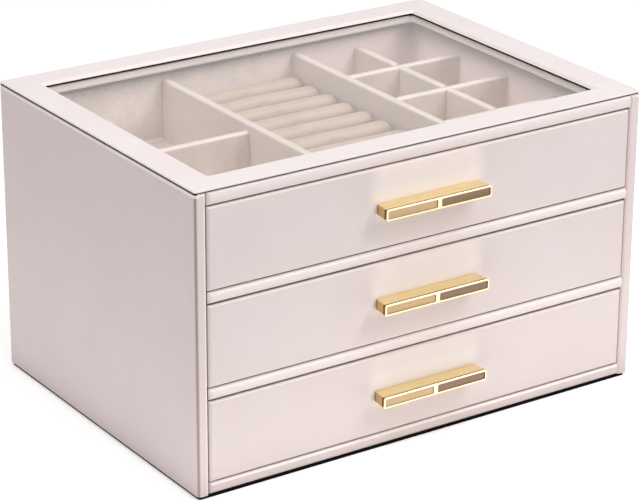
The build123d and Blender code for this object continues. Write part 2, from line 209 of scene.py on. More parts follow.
class Effects:
    """The shared node groups, each one built when a finish first asks for it."""

    @cache
    def group(self, effect: Effect) -> NodeTree:
        """The node group of an effect, the same one each time."""
        return getattr(self, effect.value)()

    def start(self, effect: Effect, given: str, *outputs: str) -> tuple[Graph, Socket, Node]:
        """Makes an empty group with its sockets.

        Args:
            effect: the effect that the group is for.
            given: the name of its input.
            outputs: the names of its outputs.

        Returns:
            The group's graph, the socket of its input and its output node.
        """
        tree = bpy.data.node_groups.new(effect.value, "ShaderNodeTree")
        tree.interface.new_socket(given, in_out="INPUT", socket_type="NodeSocketFloat")
        for name in outputs:
            tree.interface.new_socket(name, in_out="OUTPUT", socket_type="NodeSocketFloat")
        graph = Graph(tree)
        return graph, graph.add("NodeGroupInput").outputs[given], graph.add("NodeGroupOutput")

    def leather_grain(self) -> NodeTree:
        """Fine pebbled grain: soft cells with creases between them.

        Returns:
            The group, which puts out the grain's height and its creases.
        """
        drift_scale, drift_reach = 0.6, mm(0.9)
        crease_width = 0.22
        fine_scale, pebble_share = 3.1, 0.75
        graph, scale, result = self.start(Effect.LEATHER_GRAIN, "Scale", "Height", "Creases")
        place = graph.place()
        shift = graph.times(graph.noise(place, graph.times(scale, drift_scale)), drift_reach)
        moved = graph.add("ShaderNodeVectorMath", {0: place, 1: shift}, operation="ADD").outputs[0]
        inputs = {"Vector": moved, "Scale": scale}
        cells = graph.add("ShaderNodeTexVoronoi", inputs, feature="DISTANCE_TO_EDGE").outputs["Distance"]
        pebble = graph.ramp(cells, 0.0, crease_width)
        fine = graph.noise(place, graph.times(scale, fine_scale), detail=3.0, rough=0.6)
        height = graph.math("ADD", graph.times(pebble, pebble_share), graph.times(fine, 1 - pebble_share))
        graph.feed(result, {"Height": height, "Creases": graph.math("SUBTRACT", 1.0, pebble)})
        return graph.tree

    def velvet_nap(self) -> NodeTree:
        """Short pile: fine fibres, tufts, and strokes where the pile leans one way or the other.

        Returns:
            The group, which puts out the pile's height and its lean.
        """
        stroke_scale, tuft_scale = (90.0, 38.0, 60.0), 0.28
        stroke_share, fibre_share, tuft_share = 0.4, 0.2, 0.4
        fibre_span, tuft_span = (0.25, 0.75), (0.32, 0.68)
        graph, scale, result = self.start(Effect.VELVET_NAP, "Scale", "Height", "Lean")
        fibres = graph.noise(graph.place(), scale, detail=4.0, rough=0.75)
        strokes = graph.noise(graph.stretched(stroke_scale), 1.0, detail=3.0, rough=0.6)
        tufts = graph.noise(graph.place(), graph.times(scale, tuft_scale), rough=0.6)
        broad = graph.times(graph.ramp(strokes, *NOISE_SPAN), stroke_share)
        fine = graph.times(graph.ramp(fibres, *fibre_span), fibre_share)
        tufted = graph.times(graph.ramp(tufts, *tuft_span), tuft_share)
        lean = graph.math("ADD", graph.math("ADD", broad, fine), tufted)
        graph.feed(result, {"Height": fibres, "Lean": lean})
        return graph.tree

    def brushed_lines(self) -> NodeTree:
        """Fine lines along a bar, as a brushing wheel leaves them.

        Returns:
            The group, which puts out the lines.
        """
        stretch, broad_scale, fine_share = (0.012, 1.0, 1.0), 0.3, 0.55
        graph, scale, result = self.start(Effect.BRUSHED_LINES, "Scale", "Lines")
        along = graph.stretched(stretch)
        fine = graph.noise(along, scale, detail=3.0, rough=0.7)
        broad = graph.noise(along, graph.times(scale, broad_scale), rough=0.6)
        lines = graph.math("ADD", graph.times(fine, fine_share), graph.times(broad, 1 - fine_share))
        graph.feed(result, {"Lines": graph.ramp(lines, *NOISE_SPAN)})
        return graph.tree

    def painted_edge_light(self) -> NodeTree:
        """Masks for painted light on the rounded edges, broken up by noise: painted highlight where they
        turn up or right, and painted shade where they turn down.

        Returns:
            The group, which puts out both masks.
        """
        least_turn, steep, right_start = 0.004, 0.6, 0.1
        patch_scale, patch_span = 420.0, (0.7, 1.2)
        graph, turn, result = self.start(Effect.EDGE_WEAR, "Turn", "Bright", "Under")
        facing = graph.facing()
        sides = [graph.math("ABSOLUTE", facing[axis]) for axis in "XYZ"]
        flat = graph.math("MAXIMUM", graph.math("MAXIMUM", *sides[:2]), sides[2])
        turned = graph.ramp(graph.math("SUBTRACT", 1.0, flat), least_turn, turn)
        patchy = graph.noise(graph.place(), patch_scale, detail=3.0, rough=0.6)
        broken = graph.times(turned, graph.spread(patchy, *patch_span))
        up, right = graph.ramp(facing["Z"], 0.0, steep), graph.ramp(facing["X"], right_start, steep)
        # painted highlight on edges that turn up or right
        bright = graph.times(broken, graph.math("MAXIMUM", up, right), clamp=True)
        # painted shade on edges that turn down
        under = graph.times(broken, graph.ramp(facing["Z"], 0.0, -steep), clamp=True)
        graph.feed(result, {"Bright": bright, "Under": under})
        return graph.tree

    def mottle(self) -> NodeTree:
        """Slow, broad changes of tone.

        Returns:
            The group, which puts out the tone.
        """
        graph, scale, result = self.start(Effect.MOTTLE, "Scale", "Tone")
        cloud = graph.noise(graph.place(), scale, detail=3.0, rough=0.55)
        graph.feed(result, {"Tone": graph.ramp(cloud, *NOISE_SPAN)})
        return graph.tree


class Surface(Graph):
    """A material's graph, with its shader, its output and the shared effects."""

    def __init__(self, name: str, effects: Effects) -> None:
        """Makes the material, with a plain shader.

        Args:
            name: the material's name.
            effects: the shared effects.
        """
        self.material = bpy.data.materials.new(name)
        self.material.use_nodes = True
        super().__init__(self.material.node_tree)
        self.effects = effects
        self.shader = self.add("ShaderNodeBsdfPrincipled")
        self.output = self.add("ShaderNodeOutputMaterial", {"Surface": self.shader.outputs[0]})

    def use(self, effect: Effect, **inputs: float) -> Any:
        """Places an effect, with its inputs by name, and gives its outputs."""
        return self.add("ShaderNodeGroup", inputs, node_tree=self.effects.group(effect)).outputs

    def shade(self, **inputs: Any) -> None:
        """Fills or links the shader's inputs, by name with underscores for spaces."""
        self.feed(self.shader, {name.replace("_", " "): value for name, value in inputs.items()})

    def coat(self, colour: Socket, pattern: Socket, roughness: Span) -> None:
        """Gives the shader its colour, and a roughness that follows a pattern."""
        self.shade(Base_Color=colour, Roughness=self.spread(pattern, *roughness))

    def emboss(self, height: Socket, depth: float, strength: float) -> None:
        """Bends the shader's normal by a height, of which a full 1 measures the depth in metres."""
        bump = self.add("ShaderNodeBump", {"Height": height, "Distance": depth, "Strength": strength})
        self.shade(Normal=bump.outputs[0])


# Finishes


@dataclass(frozen=True)
class Patch:
    """A box in the frame inside which a cloth has its own tone, with sides that may fade in."""

    low: Vector
    high: Vector
    tone: Colour
    soft: Triple = (0.0, 0.0, 0.0)

    def over(self, face: Surface, colour: Socket) -> Socket:
        """Lays the patch over a colour.

        Args:
            face: what is painted.
            colour: the colour below.

        Returns:
            The socket of the colour with the patch.
        """
        axes = face.split(face.place())
        sides = []
        for axis, low, high, soft in zip("XYZ", self.low, self.high, self.soft):
            place = axes[axis]
            if soft:
                sides += [face.ramp(place, low, low + soft), face.ramp(place, high, high - soft)]
            else:
                sides += [face.math("GREATER_THAN", place, low), face.math("LESS_THAN", place, high)]
        return face.mix(reduce(face.times, sides), colour, self.tone)


@dataclass(frozen=True)
class Finish:
    """What every finish has: a name and a way to make its material.

    Its roughness lies between two limits, and its relief is a depth and how much of that shows.
    """

    name: str
    specular: float = 0.5
    metallic: float = 0.0

    def material(self, effects: Effects) -> Material:
        """Makes the material of this finish.

        Args:
            effects: the shared effects.

        Returns:
            The new material.
        """
        face = Surface(self.name, effects)
        face.shade(Specular_IOR_Level=self.specular, Metallic=self.metallic)
        self.paint(face)
        return face.material

    def paint(self, face: Surface) -> None:
        """Sets the shader up; each finish has its own way."""
        raise NotImplementedError


@dataclass(frozen=True)
class LeatherCloth(Finish):
    """Smooth satin leather cloth with a fine grain, a little paler along edges that turn up or right:
    painted highlight.

    It may get a painted shade line round the upright corners of a box of a half width and half depth, be
    painted from shade at the lower edge of a crowned board to highlight at the upper one, and change its
    tone inside patches.
    Edges that turn down get painted shade.
    """

    specular: float = 0.28
    roughness: Span = (0.4, 0.5)
    tone: Colour = (229, 216, 214)
    shaded: Colour = (226, 212, 210)
    crease: Colour = (214, 199, 197)
    # edge and under: painted highlight on edges that turn up or right, painted shade on edges that turn
    # down
    edge: Colour = (240, 228, 225)
    under: Colour = (212, 197, 194)
    # painted shade line on the rounded upright corners
    corner_shade: Colour = (166, 150, 144)
    crease_share: float = 0.35
    # painted shade rising to painted highlight up a crowned board
    crown_share: float = 0.0
    crown_span: Span = (0.05, 1.15)
    shade_corners: Span | None = None
    corner_shade_width: float = mm(1.6)
    corner_shade_line: float = mm(0.65)
    patches: tuple[Patch, ...] = ()
    relief: Span = (mm(0.05), 0.35)

    def paint(self, face: Surface) -> None:
        """Grain in the normal, slow changes of tone, dark creases, painted highlights and painted shade.

        Args:
            face: what is painted.
        """
        grain = face.use(Effect.LEATHER_GRAIN, Scale=1250.0)
        cloud = face.use(Effect.MOTTLE, Scale=24.0)
        edge_light = face.use(Effect.EDGE_WEAR, Turn=0.1)
        colour = face.mix(cloud["Tone"], self.tone, self.shaded)
        colour = face.mix(face.times(grain["Creases"], self.crease_share), colour, self.crease)
        # painted shade rising to painted highlight up a crowned board
        if self.crown_share:
            colour = face.mix(self.crown_share, colour, self.crown(face))
        # painted shade on edges that turn down
        colour = face.mix(edge_light["Under"], colour, self.under)
        # painted highlight on edges that turn up or right
        colour = face.mix(edge_light["Bright"], colour, self.edge)
        # painted shade line round the upright corners
        if self.shade_corners:
            colour = face.mix(self.corner_shade_mask(face), colour, self.corner_shade)
        for patch in self.patches:
            colour = patch.over(face, colour)
        face.coat(colour, grain["Creases"], self.roughness)
        face.emboss(grain["Height"], *self.relief)

    def crown(self, face: Surface) -> Socket:
        """Painted shade to painted highlight on a board with a rounded front, from its lower edge to its
        upper one.
        """
        rise = face.split(face.add("ShaderNodeTexCoord").outputs["Generated"])["Z"]
        return face.mix(face.ramp(rise, *self.crown_span), self.under, self.edge)

    def corner_shade_mask(self, face: Surface) -> Socket:
        """Where the painted shade line lies: near the upright corners, seen from above.

        Args:
            face: what is painted.

        Returns:
            The socket of the mask.
        """
        axes = face.split(face.place())
        places = [face.math("ABSOLUTE", axes[axis]) for axis in "XY"]
        reach = [face.math("SUBTRACT", half, place) for half, place in zip(self.shade_corners, places)]
        return face.ramp(face.math("MAXIMUM", *reach), self.corner_shade_width, self.corner_shade_line)


@dataclass(frozen=True)
class Velvet(Finish):
    """Short-piled velvet whose tone changes with the lean of its pile, with painted light on faces that
    look sideways.

    It may get painted shade where it turns down between padded rolls, and change its tone inside patches.
    """

    specular: float = 0.15
    roughness: Span = (0.82, 0.95)
    tone: Colour = (231, 215, 205)
    shaded: Colour = (207, 191, 180)
    # painted light on faces that look along X
    sideways: Colour = (240, 227, 218)
    # painted highlight on edges that turn up or right
    edge: Colour = (246, 233, 225)
    # painted shade where the cloth turns down between rolls
    valley: Colour | None = None
    sheen: Colour = (255, 250, 245)
    sideways_share: float = 0.65
    sideways_span: Span = (0.5, 0.95)
    valley_span: Span = (0.9, 0.25)
    patches: tuple[Patch, ...] = ()
    relief: Span = (mm(0.25), 0.4)

    def paint(self, face: Surface) -> None:
        """Pile in the normal, leaning patches in the tone, painted light and painted shade by facing,
        sheen on the shader.

        Args:
            face: what is painted.
        """
        nap = face.use(Effect.VELVET_NAP, Scale=2400.0)
        edge_light = face.use(Effect.EDGE_WEAR, Turn=0.2)
        facing = face.facing()
        across = face.ramp(face.math("ABSOLUTE", facing["X"]), *self.sideways_span)
        colour = face.mix(nap["Lean"], self.shaded, self.tone)
        # painted light on faces that look along X
        colour = face.mix(face.times(across, self.sideways_share), colour, self.sideways)
        # painted highlight on edges that turn up or right
        colour = face.mix(edge_light["Bright"], colour, self.edge)
        # painted shade where the cloth turns down
        if self.valley:
            colour = face.mix(face.ramp(facing["Z"], *self.valley_span), colour, self.valley)
        for patch in self.patches:
            colour = patch.over(face, colour)
        face.coat(colour, nap["Lean"], self.roughness)
        face.shade(Sheen_Weight=0.25, Sheen_Roughness=0.4, Sheen_Tint=linear(self.sheen))
        face.emboss(nap["Height"], *self.relief)


@dataclass(frozen=True)
class WrappingPaper(Finish):
    """Pale paper over the boards of a drawer's box, with loose fibres in it."""

    specular: float = 0.3
    roughness: Span = (0.6, 0.8)
    tone: Colour = (222, 209, 203)
    fibre: Colour = (209, 194, 187)
    fibre_scale: Triple = (900.0, 260.0, 600.0)
    fibre_span: Span = (0.35, 0.75)
    relief: Span = (mm(0.04), 0.4)

    def paint(self, face: Surface) -> None:
        """Short fibres in tone and height, over slow changes of tone.

        Args:
            face: what is painted.
        """
        fibres = face.noise(face.stretched(self.fibre_scale), 1.0, detail=4.0, rough=0.7)
        cloud = face.use(Effect.MOTTLE, Scale=55.0)
        share = face.times(face.ramp(fibres, *self.fibre_span), cloud["Tone"])
        face.coat(face.mix(share, self.tone, self.fibre), fibres, self.roughness)
        face.emboss(fibres, *self.relief)


@dataclass(frozen=True)
class BrushedGold(Finish):
    """Brushed gold, with a polished paler rim in front of a given plane and a painted shade line in the
    groove behind it.

    The sawn ends of the bar are painted darker than its length as a painted reflection, and painted shade
    darkens them towards its foot.
    """

    metallic: float = 1.0
    roughness: Span = (0.34, 0.46)
    polish: float = 0.16
    rim_plane: float = 0.0
    foot_plane: float = 0.0
    foot_fade: float = mm(2.6)
    groove_width: float = mm(0.9)
    end_groove_width: float = mm(2.0)
    # groove and foot: painted shade in the groove behind the rim and on the ends near the foot
    groove: Colour = (104, 79, 44)
    foot: Colour = (84, 62, 44)
    tone: Colour = (248, 231, 182)
    line: Colour = (236, 212, 158)
    # painted reflection of darker surroundings on the ends
    end: Colour = (212, 180, 122)
    rim: Colour = (250, 232, 186)
    end_span: Span = (0.4, 0.8)
    relief: Span = (mm(0.03), 0.3)

    def paint(self, face: Surface) -> None:
        """Lines in tone, roughness and normal, which stop at the polished rim; painted shade and
        reflection darken ends and groove.

        Args:
            face: what is painted.
        """
        lines = face.use(Effect.BRUSHED_LINES, Scale=2200.0)["Lines"]
        place = face.split(face.place())["Y"]
        rim = face.math("LESS_THAN", place, self.rim_plane)
        ends = face.ramp(face.math("ABSOLUTE", face.facing()["X"]), *self.end_span)
        # painted shade on the ends towards the foot, where the bar meets the drawer front
        foot_shade = face.ramp(place, self.foot_plane - self.foot_fade, self.foot_plane)
        colour = face.mix(lines, self.line, self.tone)
        # ends painted darker: painted reflection, and painted shade near the foot
        colour = face.mix(ends, colour, face.mix(foot_shade, self.end, self.foot))
        widths = (self.groove_width, self.end_groove_width)
        reach = face.spread(ends, *(self.rim_plane + width for width in widths))
        # painted shade in the groove behind the rim, wider on the ends
        colour = face.mix(face.math("LESS_THAN", place, reach), colour, self.groove)
        colour = face.mix(rim, colour, self.rim)
        brushed = face.spread(lines, *self.roughness)
        smooth = face.math("SUBTRACT", brushed, face.times(rim, self.polish))
        face.shade(Base_Color=colour, Roughness=smooth)
        height = face.times(lines, face.math("SUBTRACT", 1.0, rim))
        face.emboss(height, *self.relief)


@dataclass(frozen=True)
class SatinInlay(Finish):
    """A satin inlay with faint lines along it."""

    specular: float = 0.3
    roughness: Span = (0.3, 0.42)
    tone: Colour = (215, 183, 142)
    line: Colour = (202, 168, 126)
    relief: Span = (mm(0.02), 0.25)
    cloud_span: Span = (0.5, 1.0)

    def paint(self, face: Surface) -> None:
        """Lines in tone and roughness, and a slow change of tone.

        Args:
            face: what is painted.
        """
        lines = face.use(Effect.BRUSHED_LINES, Scale=1500.0)["Lines"]
        cloud = face.use(Effect.MOTTLE, Scale=130.0)["Tone"]
        share = face.times(lines, face.spread(cloud, *self.cloud_span))
        face.coat(face.mix(share, self.tone, self.line), lines, self.roughness)
        face.emboss(lines, *self.relief)


@dataclass(frozen=True)
class ClearGlass(Finish):
    """Clear float glass that lets lamps light what lies below it."""

    roughness: Span = (0.0, 0.02)
    tone: Colour = (254, 253, 253)
    smear: Colour = (250, 249, 249)
    mirrored: Colour = (255, 242, 246)

    def paint(self, face: Surface) -> None:
        """Faint wipe marks in roughness and tone, and plain light for shadow rays.

        Args:
            face: what is painted.
        """
        cloud = face.use(Effect.MOTTLE, Scale=18.0)["Tone"]
        face.coat(face.mix(cloud, self.tone, self.smear), cloud, self.roughness)
        face.shade(Transmission_Weight=1.0, IOR=1.25, Specular_Tint=linear(self.mirrored))
        path = face.add("ShaderNodeLightPath").outputs
        clear = face.add("ShaderNodeBsdfTransparent").outputs[0]
        through = face.math("MAXIMUM", path["Is Shadow Ray"], path["Is Diffuse Ray"])
        inputs = {0: through, 1: face.shader.outputs[0], 2: clear}
        face.feed(face.output, {"Surface": face.add("ShaderNodeMixShader", inputs).outputs[0]})


@dataclass(frozen=True)
class Fibrous(Finish):
    """A dull fibrous stuff, such as felt or foam tape."""

    specular: float = 0.1
    roughness: Span = (0.85, 1.0)
    tone: Colour = (6, 5, 5)
    fibre: Colour = (16, 14, 14)
    fibre_scale: float = 1800.0
    fibre_span: Span = (0.4, 0.75)
    relief: Span = (mm(0.15), 0.5)

    def paint(self, face: Surface) -> None:
        """Tangled fibres in tone and height.

        Args:
            face: what is painted.
        """
        fibres = face.noise(face.place(), self.fibre_scale, detail=5.0, rough=0.8)
        share = face.ramp(fibres, *self.fibre_span)
        face.coat(face.mix(share, self.tone, self.fibre), fibres, self.roughness)
        face.emboss(fibres, *self.relief)


@dataclass(frozen=True)
class BeechWood(Finish):
    """Turned beech, with its grain along the dowel."""

    roughness: Span = (0.55, 0.7)
    tone: Colour = (214, 177, 132)
    grain: Colour = (178, 134, 90)
    grain_scale: Triple = (60.0, 1600.0, 1600.0)
    grain_span: Span = (0.35, 0.7)
    relief: Span = (mm(0.05), 0.3)

    def paint(self, face: Surface) -> None:
        """Long streaks in tone and roughness.

        Args:
            face: what is painted.
        """
        streaks = face.noise(face.stretched(self.grain_scale), 1.0, detail=3.0, rough=0.6)
        share = face.ramp(streaks, *self.grain_span)
        face.coat(face.mix(share, self.tone, self.grain), share, self.roughness)
        face.emboss(streaks, *self.relief)


@dataclass(frozen=True)
class ZincPlate(Finish):
    """Bright zinc plate with a cloudy tone."""

    metallic: float = 1.0
    roughness: Span = (0.22, 0.36)
    tone: Colour = (206, 208, 212)
    cloud: Colour = (176, 180, 188)

    def paint(self, face: Surface) -> None:
        """Clouds in tone and roughness."""
        cloud = face.use(Effect.MOTTLE, Scale=600.0)["Tone"]
        face.coat(face.mix(cloud, self.tone, self.cloud), cloud, self.roughness)


@dataclass(frozen=True)
class Shades:
    """Where the cloth gets a tone of its own, mostly painted light and shade: bays, the window's lip,
    seams, tray walls and glows.
    """

    skin: float = mm(0.1)
    bay_setback: float = mm(1.9)
    # dark bay paper, which also stands for painted shade in the drawer gaps
    bay_tone: Colour = (92, 74, 68)
    # painted highlight on the window's lip
    lip_painted_light: Colour = (255, 245, 241)
    wall_depth: float = mm(2.5)
    wall_height: float = mm(36.0)
    wall_soft: float = mm(1.0)
    wall_rise: float = mm(20.0)
    wall_fade: float = mm(60.0)
    wall_past: float = mm(100.0)
    # painted light on the tray walls that the frame shades
    back_painted_light: Colour = (238, 215, 210)
    right_painted_light: Colour = (254, 231, 227)
    # painted light from the handles on the drawer fronts
    glow_soft: float = mm(12.0)
    glow_near: float = mm(14.0)
    near_painted_light: Colour = (247, 239, 242)

    def bays(self) -> Patch:
        """The dark paper of the bays that the drawers run in, which also stands for painted shade in the
        gaps round them.

        Returns:
            One patch for the whole inside of the case.
        """
        panel_low, panel_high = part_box("left_side_panel")
        floor, back, board = (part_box(node) for node in ("base_board", "back_panel", "top_board"))
        low = Vector((panel_high.x - self.skin, panel_low.y + self.bay_setback, floor[1].z - self.skin))
        high = Vector((-panel_high.x + self.skin, back[0].y + self.skin, board[0].z + self.skin))
        return Patch(low, high, self.bay_tone)

    def lip(self) -> Patch:
        """Painted highlight on the edge of the window that carries the glass, as if lit through it.

        Returns:
            Its patch, from the top board's underside to the glass.
        """
        low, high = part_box("window_glass")
        margin = Vector((self.skin, self.skin, 0.0))
        low.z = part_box("top_board")[0].z + self.skin
        return Patch(low - margin, high + margin, self.lip_painted_light)

    def seams(self) -> tuple[Patch, ...]:
        """A dark glue line under the cover along each side panel, which also stands for painted shade in
        that crevice, and a painted highlight on the panel's rounded edge below it.

        Returns:
            An edge and a seam for each side.
        """
        low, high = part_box("left_side_panel")
        # painted highlight on the side panel's rounded top edge
        painted_edge_highlight = (mm(2.5), mm(2.5), (255, 243, 240), mm(1.0))
        # dark glue line, which also stands for painted shade under the cover
        glue_line_and_shade = (mm(1.9), mm(0.65), (46, 29, 24), 0.0)
        patches = []
        for side in (low.x, -low.x):
            for width, drop, tone, fade in (painted_edge_highlight, glue_line_and_shade):
                start = Vector((side - width, low.y - self.skin, high.z - drop))
                end = Vector((side + width, -low.y + self.skin, high.z + self.skin + fade))
                patches.append(Patch(start, end, tone, (0.0, 0.0, fade)))
        return tuple(patches)

    def walls(self) -> tuple[Patch, ...]:
        """Painted light on the upper parts of the top drawer's back and right walls, which the frame
        shades: rosy tints, paler on the right.

        Returns:
            A patch for each wall.
        """
        low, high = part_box("top_drawer_lining")
        foot = high.z - self.wall_height
        beyond = high + Vector((self.wall_past,) * 3)
        back = Vector((0.0, high.y - self.wall_depth, foot))
        right = Vector((high.x - self.wall_depth, low.y - self.wall_past, foot))
        return (
            Patch(back, beyond, self.back_painted_light, (self.wall_fade, self.wall_soft, self.wall_rise)),
            Patch(right, beyond, self.right_painted_light, (self.wall_soft, self.wall_soft, self.wall_rise)),
        )

    def glow(self, drawer: str, tone: Colour) -> tuple[Patch, ...]:
        """Painted light on a drawer's front where its polished handle throws light, in a creamy tone.

        Args:
            drawer: the drawer's name.
            tone: the cloth's tone there.

        Returns:
            A patch from the handle up to the drawer's upper edge, and a paler one close to the handle.
        """
        bar_low, bar_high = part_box(f"{drawer}_handle_bar")
        front_low, front_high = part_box(f"{drawer}_drawer_front")
        soft = self.glow_soft
        low = Vector((bar_low.x - soft / 2, front_low.y - 2 * soft, bar_high.z - soft))
        high = Vector((bar_high.x + soft / 2, front_high.y + 2 * soft, front_high.z + soft))
        near = Vector((high.x, high.y, bar_high.z + self.glow_near))
        fades = (soft, soft, soft)
        return Patch(low, high, tone, fades), Patch(low, near, self.near_painted_light, fades)


class Palette:
    """The materials of the whole box, made once."""

    def __init__(self, effects: Effects) -> None:
        """Makes every material.

        Args:
            effects: the shared effects.
        """
        rim_depth = mm(0.4)
        bar_low, bar_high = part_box("top_handle_bar")
        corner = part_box("left_side_panel")[0]
        shades = Shades()
        bays = shades.bays()
        # painted light that the handles throw on the drawer fronts
        glows = shades.glow("bottom", (234, 222, 217)) + shades.glow("middle", (240, 227, 222))
        glows += shades.glow("top", (242, 229, 225))
        self.leather = LeatherCloth("blush_leather_cloth", patches=glows).material(effects)
        self.case_leather = LeatherCloth(
            "case_leather_cloth",
            tone=(228, 213, 211),
            shaded=(225, 209, 207),
            # painted highlight on the case's edges
            edge=(255, 248, 245),
            # painted shade line round the case's upright corners
            shade_corners=(-corner.x, -corner.y),
            # dark bay paper that also stands for shade in the gaps, and glue lines and painted edge
            # highlights at the seams
            patches=(bays, *shades.seams()),
        ).material(effects)
        self.rail_leather = LeatherCloth(
            "rail_leather_cloth",
            # painted highlight and painted shade on the rails' edges, painted shade rising to highlight up
            # their crowned fronts
            edge=(254, 243, 241),
            under=(229, 215, 213),
            crown_share=0.8,
            # dark bay paper that also stands for shade in the gaps, and painted highlight on the window's
            # lip
            patches=(bays, shades.lip()),
        ).material(effects)
        cover = LeatherCloth("cover_leather_cloth", tone=(228, 219, 218), shaded=(225, 215, 214))
        self.cover_leather = cover.material(effects)
        # painted light on the top tray's back and right walls
        self.velvet = Velvet("greige_velvet_lining", patches=shades.walls()).material(effects)
        self.roll_velvet = Velvet(
            "ring_roll_velvet",
            tone=(204, 185, 169),
            shaded=(182, 161, 143),
            sideways=(195, 175, 158),
            edge=(204, 185, 169),
            # painted shade where the rolls turn down
            valley=(158, 137, 123),
        ).material(effects)
        self.paper = WrappingPaper("drawer_wrapping_paper").material(effects)
        # the gold gets painted shade in the groove and at the foot, and a painted reflection on the ends
        gold = BrushedGold("brushed_gold_handle", rim_plane=bar_low.y + rim_depth, foot_plane=bar_high.y)
        self.gold = gold.material(effects)
        self.light_inlay = SatinInlay("champagne_satin").material(effects)
        mocha = SatinInlay("mocha_satin", tone=(150, 122, 101), line=(134, 106, 86))
        self.dark_inlay = mocha.material(effects)
        self.glass = ClearGlass("clear_window_glass").material(effects)
        tape = Fibrous("black_foam_tape", tone=(14, 8, 6), fibre=(30, 20, 16), fibre_scale=2600.0)
        self.tape = tape.material(effects)
        self.felt = Fibrous("black_base_felt").material(effects)
        self.beech = BeechWood("beech_dowel_wood").material(effects)
        self.zinc = ZincPlate("zinc_screw_plate").material(effects)


# Pieces


def dress(material: Material, *nodes: str) -> None:
    """Gives pieces of the frame their finish.

    Args:
        material: what they are finished in.
        nodes: the pieces' names in the frame.
    """
    for node in nodes:
        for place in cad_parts[node].material_slots:
            place.material = material
        LOG.info("dressed %s in %s", node, material.name)


def put_in_scene(name: str, data: ID) -> Object:
    """Makes an object of a mesh, a lamp or a camera, and links it to the scene.

    Args:
        name: the object's name.
        data: what it shows.

    Returns:
        The new object.
    """
    made = bpy.data.objects.new(name, data)
    bpy.context.scene.collection.objects.link(made)
    return made


def piece_from(name: str, mesh: bmesh.types.BMesh, material: Material) -> Object:
    """Turns a built mesh into a piece of the scene.

    Args:
        name: the piece's name.
        mesh: its shape, which is used up.
        material: its finish.

    Returns:
        The new object, with smooth faces.
    """
    data = bpy.data.meshes.new(name)
    mesh.to_mesh(data)
    mesh.free()
    data.materials.append(material)
    data.polygons.foreach_set("use_smooth", [True] * len(data.polygons))
    return put_in_scene(name, data)


@dataclass
class Case:
    """The fixed body of the box: boards, felt and dowels."""

    palette: Palette
    boards: tuple[str, ...] = ("left_side_panel", "right_side_panel", "back_panel", "base_board")
    rails: tuple[str, ...] = ("lower_shelf", "upper_shelf", "top_board")

    def build(self) -> None:
        """Dresses the boards in leather, the base in felt and the dowels in beech."""
        dress(self.palette.case_leather, *self.boards)
        dress(self.palette.rail_leather, *self.rails)
        dress(self.palette.felt, "base_felt")
        dress(self.palette.beech, "panel_dowels")


@dataclass
class GlassTop:
    """The fixed top: cover frame, the dark bond under it (a black layer that also stands for the shade in
    that seam), tape and glass.
    """

    palette: Palette

    def build(self) -> None:
        """Dresses the cover in leather, with the bond, the tape and the glass under it."""
        dress(self.palette.cover_leather, "cover_frame")
        # the black bond under the cover also stands for the shade in that seam
        dress(self.palette.tape, "cover_bond", "glass_tape")
        dress(self.palette.glass, "window_glass")


@dataclass
class Drawer:
    """One drawer: its front, box, lining and handle."""

    name: str
    body: Body
    palette: Palette
    dividers: tuple[str, ...] = ()
    walls: tuple[str, ...] = ("left_side", "right_side", "back", "inner_front", "bottom")
    lining_thickness: float = mm(1.0)
    lining_corner: float = mm(1.6)
    corner_segments: int = 5

    def build(self) -> None:
        """Dresses the drawer's boards and handle, and makes its lining."""
        dress(self.palette.leather, f"{self.name}_drawer_front")
        dress(self.palette.paper, *(f"{self.name}_drawer_{wall}" for wall in self.walls))
        dress(self.palette.velvet, *(f"{self.name}_drawer_{divider}" for divider in self.dividers))
        self.dress_handle()
        self.build_lining()

    def dress_handle(self) -> None:
        """Gold bar, light and dark inlays, zinc screws."""
        dress(self.palette.gold, f"{self.name}_handle_bar")
        dress(self.palette.light_inlay, f"{self.name}_handle_light_inlay")
        dress(self.palette.dark_inlay, f"{self.name}_handle_dark_inlay")
        dress(self.palette.zinc, f"{self.name}_handle_screws")

    def build_lining(self) -> None:
        """Makes the velvet lining, with soft corners where the cloth turns."""
        node = f"{self.name}_drawer_lining"
        low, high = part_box(node)
        wall = self.lining_thickness
        inner_low = low + Vector((wall, wall, wall))
        inner_high = high - Vector((wall, wall, 0.0))
        mesh = bmesh.new()
        bmesh.ops.create_cube(mesh, size=1.0)
        fitted = Matrix.LocRotScale((inner_low + inner_high) / 2, None, inner_high - inner_low)
        bmesh.ops.transform(mesh, matrix=fitted, verts=mesh.verts)
        mesh.faces.ensure_lookup_table()
        top = max(mesh.faces, key=lambda face: face.calc_center_median().z)
        bmesh.ops.delete(mesh, geom=[top], context="FACES_ONLY")
        folds = [edge for edge in mesh.edges if not edge.is_boundary]
        shape = {"offset": self.lining_corner, "segments": self.corner_segments, "profile": 0.5}
        bmesh.ops.bevel(mesh, geom=folds, affect="EDGES", **shape)
        bmesh.ops.reverse_faces(mesh, faces=mesh.faces)
        piece = piece_from(f"{self.name}_velvet_lining", mesh, self.palette.velvet)
        thick = piece.modifiers.new("cloth_thickness", "SOLIDIFY")
        thick.thickness = wall
        thick.offset = -1.0
        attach(piece, self.body.value)
        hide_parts(node)
        LOG.info("built %s", piece.name)


